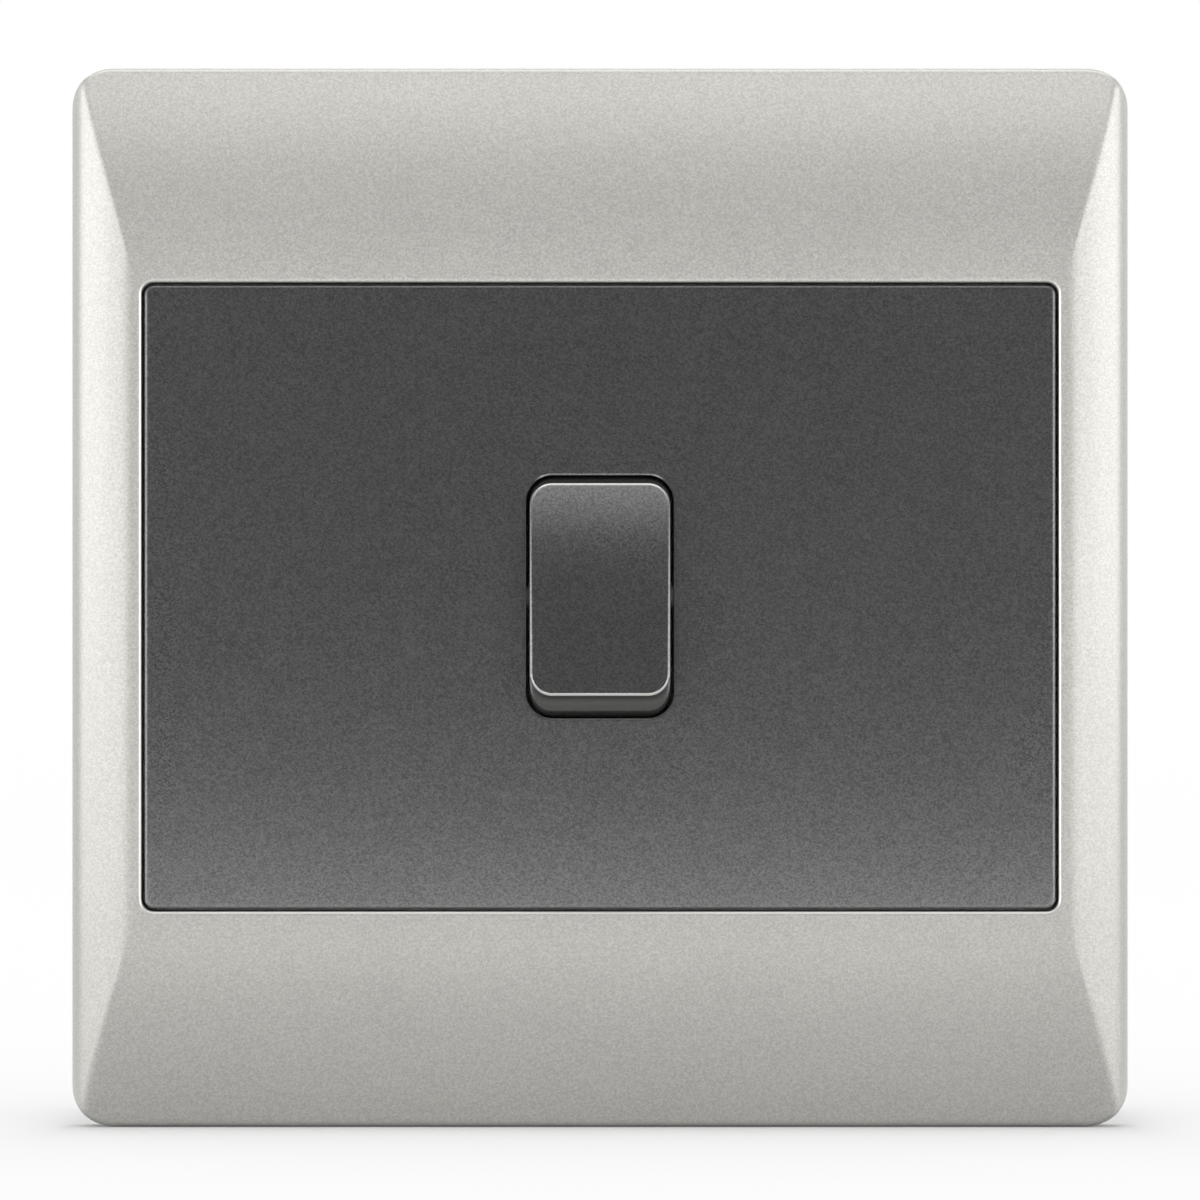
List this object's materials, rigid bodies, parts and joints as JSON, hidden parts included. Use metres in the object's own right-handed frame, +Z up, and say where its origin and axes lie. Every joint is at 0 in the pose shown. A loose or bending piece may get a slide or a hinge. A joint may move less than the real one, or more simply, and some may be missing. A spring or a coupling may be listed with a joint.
{
  "type": "rocker light switch",
  "caption": "Flush wall light switch: square silver cover frame, wide dark fascia and one small centred rocker, with its yoke, switch module and screws.",
  "frame": {"origin": "centre of the cover on the plane of the wall", "axes": "+Z up, +X to the right for someone who faces the switch, +Y into the wall"},
  "size_m": [0.105, 0.0345, 0.105],
  "materials": {
    "silver_paint": "fine metallic silver paint, satin",
    "graphite_paint": "fine metallic graphite paint, satin",
    "zinc_steel": "zinc plated",
    "brass": "bright",
    "copper": "bright",
    "silver": "silver contact",
    "spring_steel": "drawn wire",
    "dark_plastic": "moulded",
    "pale_plastic": "moulded",
    "pale_nylon": "moulded"
  },
  "bodies": {
    "body": {"cover_frame": "silver_paint", "fascia_plate": "graphite_paint", "mounting_yoke": "zinc_steel", "box_screws": "zinc_steel", "earth_clamp": "zinc_steel", "earth_screw": "brass", "module_housing": "dark_plastic", "module_base": "pale_plastic", "common_terminal": "brass", "upper_terminal": "brass", "lower_terminal": "brass", "terminal_screws": "zinc_steel", "upper_fixed_tip": "silver", "lower_fixed_tip": "silver"},
    "rocker": {"rocker_cap": "graphite_paint", "rocker_carrier": "pale_nylon", "plunger_spring": "spring_steel"},
    "plunger": {"plunger": "pale_nylon"},
    "see_saw": {"moving_contact": "copper", "upper_moving_tip": "silver", "lower_moving_tip": "silver"}
  },
  "joints": [
    {"name": "rocker_tilt", "type": "hinge", "parent": "body", "child": "rocker", "pos_m": [0, -0.00545, 0], "axis": [1, 0, 0], "range_deg": [0, 16]},
    {"name": "contact_tilt", "type": "hinge", "parent": "body", "child": "see_saw", "pos_m": [0, 0.0054, 0], "axis": [1, 0, 0], "range_deg": [-15, 0]},
    {"name": "plunger_slide", "type": "slide", "parent": "rocker", "child": "plunger", "axis": [0, -0.9903, 0.1392], "range_m": [0, 0.0008], "stiffness_N_per_m": 600, "springref_m": -0.002, "deforming": ["plunger_spring"]}
  ],
  "couplings": [
    {"joint": "contact_tilt", "follows": "rocker_tilt", "ratio": -0.9375}
  ]
}
